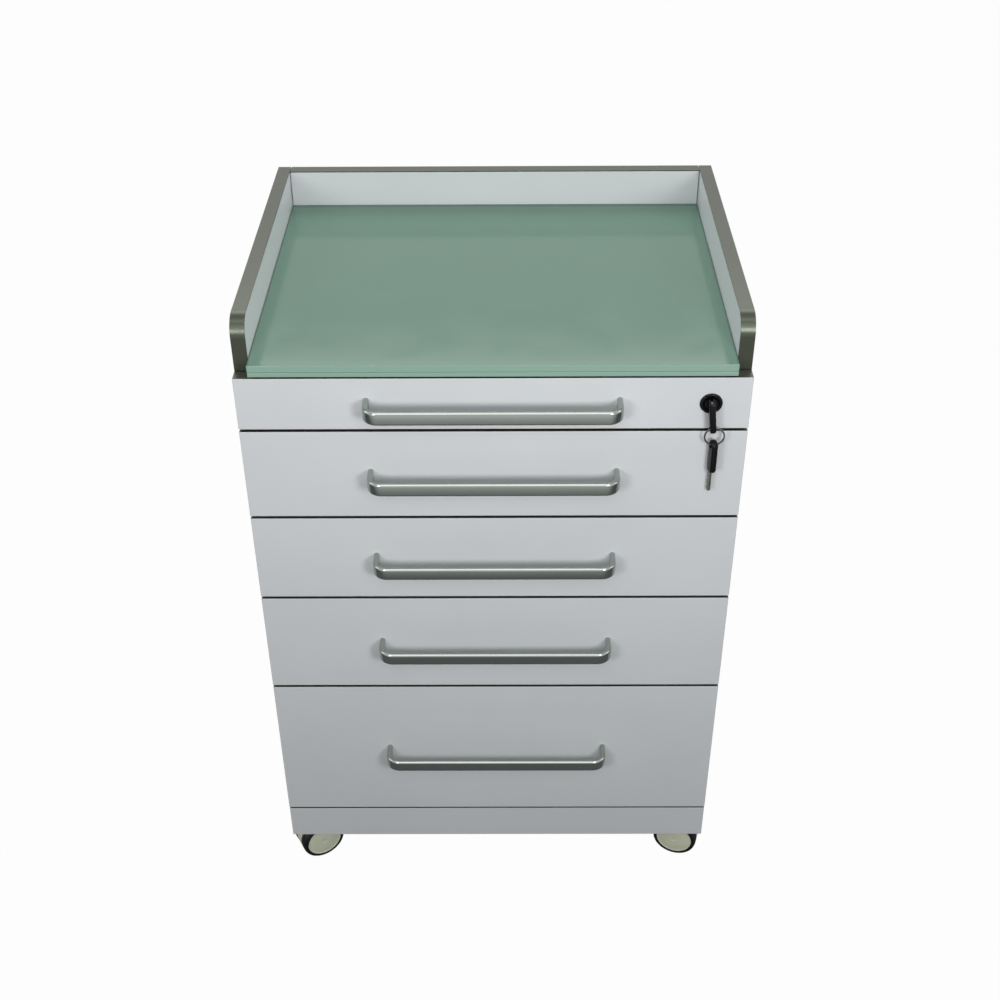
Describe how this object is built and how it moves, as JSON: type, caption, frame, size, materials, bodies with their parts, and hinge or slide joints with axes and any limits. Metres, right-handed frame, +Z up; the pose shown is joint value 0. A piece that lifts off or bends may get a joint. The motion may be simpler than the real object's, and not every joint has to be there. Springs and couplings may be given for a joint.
{
  "type": "mobile dental drawer cabinet",
  "caption": "Mobile clinic cabinet: laminated carcass with shallow to deep drawers, bow handles, top-drawer lock with keys, glass worktop with low upstands, and twin-wheel castors.",
  "frame": {"origin": "on the floor, at the middle of the rectangle that the cabinet covers", "axes": "+X to the right seen from the drawer fronts, +Y to the back, so the drawers open towards -Y, +Z up"},
  "size_m": [0.5364, 0.431, 0.797],
  "materials": {
    "board_laminate": "chipboard faced with pale grey laminate, satin",
    "front_laminate": "chipboard faced with pale grey laminate, satin",
    "edge_silver": "silver-grey edge band, satin",
    "worktop_glass": "clear float glass with a green cast, polished edges",
    "dowel_beech": "plain beech",
    "slide_zinc": "zinc-plated steel",
    "tray_steel": "light grey powder coat",
    "handle_satin": "satin nickel",
    "lock_black": "black lacquer, glossy",
    "key_black": "black moulded plastic, glossy",
    "key_steel": "nickel-plated steel",
    "castor_grey": "olive-grey moulded nylon",
    "castor_tyre": "black tread, with olive-grey cover discs"
  },
  "bodies": {
    "cabinet": {"side_panel_left": "board_laminate", "side_panel_right": "board_laminate", "top_panel": "board_laminate", "bottom_panel": "board_laminate", "back_panel": "board_laminate", "plinth_rail": "board_laminate", "gallery_edge_bands": "edge_silver", "worktop_glass": "worktop_glass", "worktop_lower_glass": "worktop_glass", "carcass_dowels": "dowel_beech", "cabinet_slide_members": "slide_zinc", "lock_strike_plate": "slide_zinc", "castor_plates": "slide_zinc"},
    "drawer_top": {"drawer_top_front": "front_laminate", "drawer_top_tray": "tray_steel", "drawer_top_handle": "handle_satin", "drawer_top_handle_screws": "slide_zinc", "drawer_top_slide_inner": "slide_zinc", "lock_cylinder": "lock_black", "lock_case": "slide_zinc"},
    "slides_top": {"drawer_top_slide_middle": "slide_zinc"},
    "drawer_second": {"drawer_second_front": "front_laminate", "drawer_second_tray": "tray_steel", "drawer_second_handle": "handle_satin", "drawer_second_handle_screws": "slide_zinc", "drawer_second_slide_inner": "slide_zinc"},
    "slides_second": {"drawer_second_slide_middle": "slide_zinc"},
    "drawer_third": {"drawer_third_front": "front_laminate", "drawer_third_tray": "tray_steel", "drawer_third_handle": "handle_satin", "drawer_third_handle_screws": "slide_zinc", "drawer_third_slide_inner": "slide_zinc"},
    "slides_third": {"drawer_third_slide_middle": "slide_zinc"},
    "drawer_fourth": {"drawer_fourth_front": "front_laminate", "drawer_fourth_tray": "tray_steel", "drawer_fourth_handle": "handle_satin", "drawer_fourth_handle_screws": "slide_zinc", "drawer_fourth_slide_inner": "slide_zinc"},
    "slides_fourth": {"drawer_fourth_slide_middle": "slide_zinc"},
    "drawer_lowest": {"drawer_lowest_front": "front_laminate", "drawer_lowest_tray": "tray_steel", "drawer_lowest_handle": "handle_satin", "drawer_lowest_handle_screws": "slide_zinc", "drawer_lowest_slide_inner": "slide_zinc"},
    "slides_lowest": {"drawer_lowest_slide_middle": "slide_zinc"},
    "lock_plug_and_blade": {"lock_plug": "lock_black", "key_blade": "key_steel"},
    "lock_bolt": {"lock_bolt": "slide_zinc"},
    "key_head": {"key_head": "key_black"},
    "key_ring": {"key_ring": "key_steel"},
    "spare_key": {"spare_key_head": "key_black", "spare_key_blade": "key_steel"},
    "castor_front_left": {"castor_front_left_housing": "castor_grey"},
    "castor_front_left_wheels": {"castor_front_left_wheels": "castor_tyre"},
    "castor_front_right": {"castor_front_right_housing": "castor_grey"},
    "castor_front_right_wheels": {"castor_front_right_wheels": "castor_tyre"},
    "castor_back_left": {"castor_back_left_housing": "castor_grey"},
    "castor_back_left_wheels": {"castor_back_left_wheels": "castor_tyre"},
    "castor_back_right": {"castor_back_right_housing": "castor_grey"},
    "castor_back_right_wheels": {"castor_back_right_wheels": "castor_tyre"}
  },
  "joints": [
    {"name": "drawer_top_travel", "type": "slide", "parent": "cabinet", "child": "drawer_top", "axis": [0, -1, 0], "range_m": [0, 0.35]},
    {"name": "slides_top_travel", "type": "slide", "parent": "cabinet", "child": "slides_top", "axis": [0, -1, 0], "range_m": [0, 0.175]},
    {"name": "drawer_second_travel", "type": "slide", "parent": "cabinet", "child": "drawer_second", "axis": [0, -1, 0], "range_m": [0, 0.35]},
    {"name": "slides_second_travel", "type": "slide", "parent": "cabinet", "child": "slides_second", "axis": [0, -1, 0], "range_m": [0, 0.175]},
    {"name": "drawer_third_travel", "type": "slide", "parent": "cabinet", "child": "drawer_third", "axis": [0, -1, 0], "range_m": [0, 0.35]},
    {"name": "slides_third_travel", "type": "slide", "parent": "cabinet", "child": "slides_third", "axis": [0, -1, 0], "range_m": [0, 0.175]},
    {"name": "drawer_fourth_travel", "type": "slide", "parent": "cabinet", "child": "drawer_fourth", "axis": [0, -1, 0], "range_m": [0, 0.35]},
    {"name": "slides_fourth_travel", "type": "slide", "parent": "cabinet", "child": "slides_fourth", "axis": [0, -1, 0], "range_m": [0, 0.175]},
    {"name": "drawer_lowest_travel", "type": "slide", "parent": "cabinet", "child": "drawer_lowest", "axis": [0, -1, 0], "range_m": [0, 0.35]},
    {"name": "slides_lowest_travel", "type": "slide", "parent": "cabinet", "child": "slides_lowest", "axis": [0, -1, 0], "range_m": [0, 0.175]},
    {"name": "key_turn", "type": "hinge", "parent": "drawer_top", "child": "lock_plug_and_blade", "pos_m": [0.2198, -0.1855, 0.7102], "axis": [0, -1, 0], "range_deg": [-6, 84]},
    {"name": "bolt_throw", "type": "slide", "parent": "drawer_top", "child": "lock_bolt", "axis": [0, 0, 1], "range_m": [-0.00038, 0.00529]},
    {"name": "key_fold", "type": "hinge", "parent": "lock_plug_and_blade", "child": "key_head", "pos_m": [0.21949, -0.1941, 0.71318], "axis": [-0.9945, 0, -0.1045], "range_deg": [0, 90]},
    {"name": "ring_swing", "type": "hinge", "parent": "key_head", "child": "key_ring", "pos_m": [0.22485, -0.1941, 0.68568], "axis": [-1, 0, 0], "range_deg": [0, 80]},
    {"name": "spare_key_swing", "type": "hinge", "parent": "key_ring", "child": "spare_key", "pos_m": [0.22485, -0.1941, 0.66568], "axis": [-1, 0, 0], "range_deg": [0, 40]},
    {"name": "castor_front_left_swivel", "type": "hinge", "parent": "cabinet", "child": "castor_front_left", "pos_m": [-0.217, -0.136, 0.06], "axis": [0, 0, 1], "continuous": true},
    {"name": "castor_front_left_roll", "type": "hinge", "parent": "castor_front_left", "child": "castor_front_left_wheels", "pos_m": [-0.23437, -0.14591, 0.028], "axis": [0.4955, -0.8686, 0], "continuous": true},
    {"name": "castor_front_right_swivel", "type": "hinge", "parent": "cabinet", "child": "castor_front_right", "pos_m": [0.217, -0.136, 0.06], "axis": [0, 0, 1], "continuous": true},
    {"name": "castor_front_right_roll", "type": "hinge", "parent": "castor_front_right", "child": "castor_front_right_wheels", "pos_m": [0.23597, -0.14235, 0.028], "axis": [0.3173, 0.9483, 0], "continuous": true},
    {"name": "castor_back_left_swivel", "type": "hinge", "parent": "cabinet", "child": "castor_back_left", "pos_m": [-0.217, 0.166, 0.06], "axis": [0, 0, 1], "continuous": true},
    {"name": "castor_back_left_roll", "type": "hinge", "parent": "castor_back_left", "child": "castor_back_left_wheels", "pos_m": [-0.23579, 0.17284, 0.028], "axis": [-0.342, -0.9397, 0], "continuous": true},
    {"name": "castor_back_right_swivel", "type": "hinge", "parent": "cabinet", "child": "castor_back_right", "pos_m": [0.217, 0.166, 0.06], "axis": [0, 0, 1], "continuous": true},
    {"name": "castor_back_right_roll", "type": "hinge", "parent": "castor_back_right", "child": "castor_back_right_wheels", "pos_m": [0.23656, 0.17016, 0.028], "axis": [-0.2079, 0.9781, 0], "continuous": true}
  ],
  "couplings": [
    {"joint": "slides_top_travel", "follows": "drawer_top_travel", "ratio": 0.5},
    {"joint": "slides_second_travel", "follows": "drawer_second_travel", "ratio": 0.5},
    {"joint": "slides_third_travel", "follows": "drawer_third_travel", "ratio": 0.5},
    {"joint": "slides_fourth_travel", "follows": "drawer_fourth_travel", "ratio": 0.5},
    {"joint": "slides_lowest_travel", "follows": "drawer_lowest_travel", "ratio": 0.5},
    {"joint": "bolt_throw", "follows": "key_turn", "m_per_rad": 0.003603}
  ]
}
